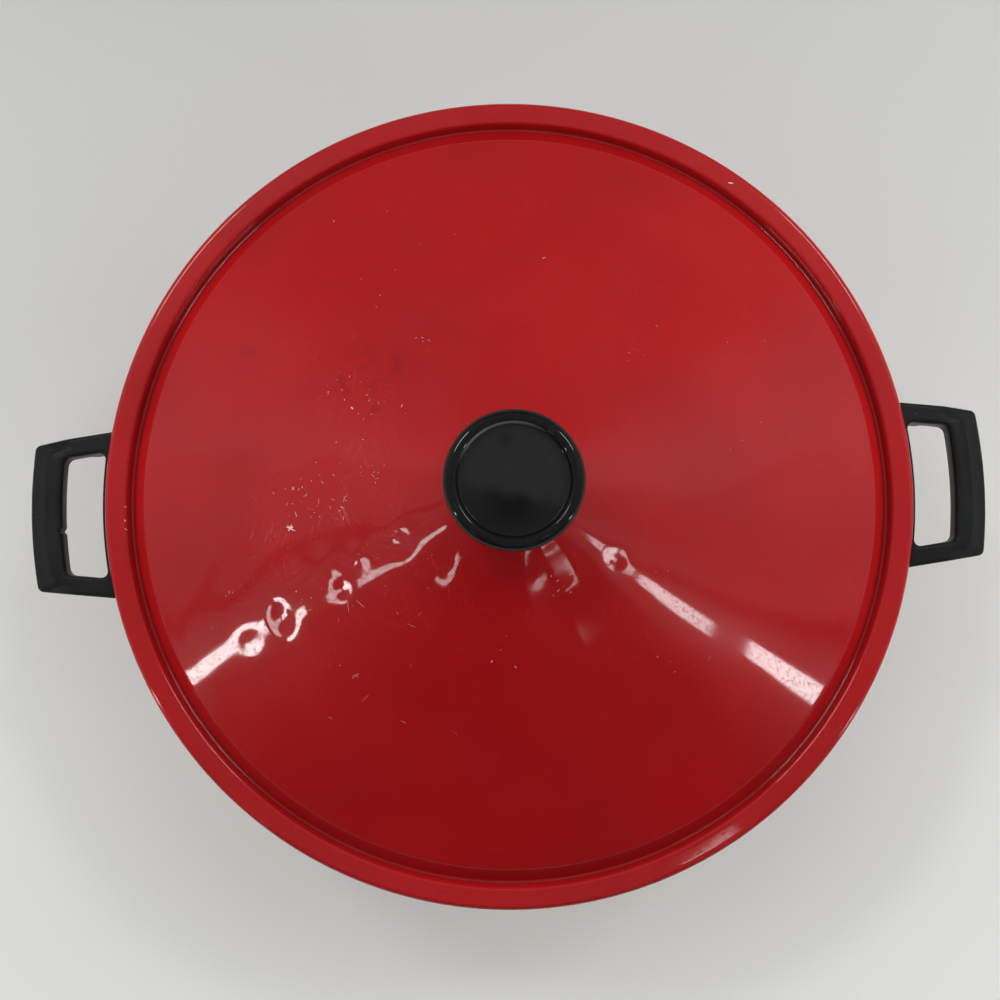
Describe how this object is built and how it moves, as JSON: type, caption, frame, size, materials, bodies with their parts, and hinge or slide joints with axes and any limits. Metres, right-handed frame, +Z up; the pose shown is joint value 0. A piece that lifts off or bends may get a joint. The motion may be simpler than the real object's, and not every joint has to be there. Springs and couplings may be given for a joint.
{
  "type": "electric wok",
  "caption": "Electric wok: a flared bowl on a footed base with loop side handles, a heating element and an inlet for a plug-in heat control, under a conical lift-off lid with a dished knob.",
  "frame": {"origin": "on the table, under the middle of the bowl", "axes": "+Z up, handles along X, the inlet for the heat control faces -Y"},
  "size_m": [0.426, 0.356, 0.243],
  "materials": {
    "red_enamel": "gloss red enamel on pressed sheet, worn and chipped",
    "gloss_phenolic": "glossy black moulding",
    "black_phenolic": "satin black heat-proof moulding",
    "steel": "plated steel",
    "aluminium": "bare aluminium",
    "brass": "turned brass",
    "ceramic": "unglazed ceramic",
    "fibre": "heat-proof fibre board",
    "rubber": "black rubber"
  },
  "bodies": {
    "wok": {"wok_bowl": "red_enamel", "right_handle": "black_phenolic", "left_handle": "black_phenolic", "right_bracket": "steel", "left_bracket": "steel", "handle_screws": "steel", "handle_washers": "steel", "heating_element": "steel", "terminal_pins": "steel", "terminal_insulators": "ceramic", "probe_socket": "aluminium", "terminal_guard": "steel", "guard_screws": "steel", "heat_reflector": "aluminium", "base_bosses": "aluminium", "heat_spacers": "fibre", "base": "black_phenolic", "base_screws": "steel", "base_washers": "steel", "foot_rear_right": "rubber", "foot_rear_left": "rubber", "foot_front_left": "rubber", "foot_front_right": "rubber"},
    "lid": {"lid_shell": "red_enamel", "lid_knob": "gloss_phenolic", "knob_insert": "brass", "knob_screw": "steel", "knob_washer": "steel"}
  },
  "joints": [
    {"name": "lid_lift", "type": "slide", "parent": "wok", "child": "lid", "axis": [0, 0, 1], "range_m": [0, 0.2]}
  ]
}
